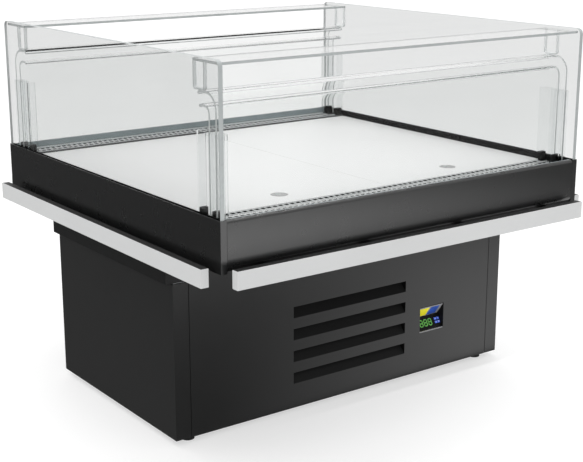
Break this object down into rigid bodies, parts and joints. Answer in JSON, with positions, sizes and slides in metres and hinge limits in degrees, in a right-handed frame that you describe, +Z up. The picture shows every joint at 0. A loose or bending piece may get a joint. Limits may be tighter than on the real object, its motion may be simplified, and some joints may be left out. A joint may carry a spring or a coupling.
{
  "type": "island display chiller",
  "caption": "Island display chiller: louvred base, shallow black tub with a white lift-out deck, clear bent screens and light bumper rails.",
  "frame": {"origin": "centre of the footprint, on the floor", "axes": "+X to the right along the front, -Y towards the front with the controller, +Z up"},
  "size_m": [1.6068, 1.5668, 1.289],
  "materials": {
    "base_black": "satin black powder coat",
    "tub_black": "semi-gloss black powder coat",
    "galvanised": "dull galvanised sheet",
    "foot_rubber": "black rubber",
    "unit_black": "gloss black enamel",
    "coil_aluminium": "bare fins",
    "fan_plastic": "moulded",
    "pipe_copper": "drawn copper tube",
    "white_plastic": "extruded",
    "black_plastic": "moulded, fine texture",
    "display_glass": "dark smoked window",
    "key_blue": "moulded translucent key",
    "foam": "rigid foam",
    "duct_steel": "satin stainless, cool grey",
    "deck_white": "smooth white coat",
    "cup_grey": "fine texture",
    "grille_steel": "perforated stainless",
    "clear_glass": "clear, polished edges",
    "clear_acrylic": "clear extrusion",
    "carrier_dark": "matt dark coat",
    "bumper_light": "light grey, satin"
  },
  "bodies": {
    "root": {"machine_tray": "galvanised", "base_frame": "galvanised", "front_panel": "base_black", "rear_panel": "base_black", "left_side_panel": "base_black", "right_side_panel": "base_black", "support_frame": "base_black", "compressor": "unit_black", "condenser_coil": "coil_aluminium", "fan_shroud": "galvanised", "fan_motor": "unit_black", "electrical_box": "galvanised", "drip_tray": "galvanised", "drain_pipe": "white_plastic", "refrigerant_pipes": "pipe_copper", "cable_gland": "black_plastic", "controller_body": "black_plastic", "display_lens": "display_glass", "tub_wrap": "tub_black", "tub_front_skin": "tub_black", "tub_rear_skin": "tub_black", "glass_rails": "tub_black", "insulation": "foam", "inner_liner": "galvanised", "front_duct_plate": "duct_steel", "rear_duct_plate": "duct_steel", "front_grille": "grille_steel", "rear_grille": "grille_steel", "evaporator_coil": "coil_aluminium", "blower_housing": "galvanised", "left_side_glass": "clear_glass", "right_side_glass": "clear_glass", "front_top_strip": "clear_glass", "rear_top_strip": "clear_glass", "front_outer_screen": "clear_glass", "front_inner_screen": "clear_glass", "rear_outer_screen": "clear_glass", "rear_inner_screen": "clear_glass", "corner_channels": "clear_acrylic", "strip_hangers": "clear_acrylic", "setting_blocks": "black_plastic", "bumper_carriers": "carrier_dark", "bumper_front": "bumper_light", "bumper_rear": "bumper_light", "bumper_left": "bumper_light", "bumper_right": "bumper_light"},
    "foot_front_left": {"foot_front_left": "foot_rubber"},
    "foot_front_right": {"foot_front_right": "foot_rubber"},
    "foot_rear_left": {"foot_rear_left": "foot_rubber"},
    "foot_rear_right": {"foot_rear_right": "foot_rubber"},
    "condenser_fan": {"condenser_fan": "fan_plastic"},
    "key_set": {"key_set": "key_blue"},
    "key_up": {"key_up": "key_blue"},
    "key_down": {"key_down": "key_blue"},
    "key_defrost": {"key_defrost": "key_blue"},
    "deck_left": {"deck_left": "deck_white", "lift_cup_left": "cup_grey"},
    "deck_right": {"deck_right": "deck_white", "lift_cup_right": "cup_grey"},
    "evaporator_blower": {"evaporator_blower": "fan_plastic"}
  },
  "joints": [
    {"name": "foot_front_left_screw", "type": "slide", "parent": "root", "child": "foot_front_left", "axis": [0, 0, -1], "range_m": [0, 0.012]},
    {"name": "foot_front_right_screw", "type": "slide", "parent": "root", "child": "foot_front_right", "axis": [0, 0, -1], "range_m": [0, 0.012]},
    {"name": "foot_rear_left_screw", "type": "slide", "parent": "root", "child": "foot_rear_left", "axis": [0, 0, -1], "range_m": [0, 0.012]},
    {"name": "foot_rear_right_screw", "type": "slide", "parent": "root", "child": "foot_rear_right", "axis": [0, 0, -1], "range_m": [0, 0.012]},
    {"name": "condenser_fan_spin", "type": "hinge", "parent": "root", "child": "condenser_fan", "pos_m": [0, -0.2615, 0.245], "axis": [0, 1, 0], "continuous": true},
    {"name": "evaporator_blower_spin", "type": "hinge", "parent": "root", "child": "evaporator_blower", "pos_m": [0, -0.33, 0.752], "axis": [1, 0, 0], "continuous": true},
    {"name": "key_set_press", "type": "slide", "parent": "root", "child": "key_set", "axis": [0, 0.866, -0.5], "range_m": [0, 0.001], "stiffness_N_per_m": 600, "springref_m": -0.0005},
    {"name": "key_up_press", "type": "slide", "parent": "root", "child": "key_up", "axis": [0, 0.866, -0.5], "range_m": [0, 0.001], "stiffness_N_per_m": 600, "springref_m": -0.0005},
    {"name": "key_down_press", "type": "slide", "parent": "root", "child": "key_down", "axis": [0, 0.866, -0.5], "range_m": [0, 0.001], "stiffness_N_per_m": 600, "springref_m": -0.0005},
    {"name": "key_defrost_press", "type": "slide", "parent": "root", "child": "key_defrost", "axis": [0, 0.866, -0.5], "range_m": [0, 0.001], "stiffness_N_per_m": 600, "springref_m": -0.0005},
    {"name": "deck_left_lift", "type": "slide", "parent": "root", "child": "deck_left", "axis": [0, 0, 1], "range_m": [0, 0.25]},
    {"name": "deck_right_lift", "type": "slide", "parent": "root", "child": "deck_right", "axis": [0, 0, 1], "range_m": [0, 0.25]}
  ]
}
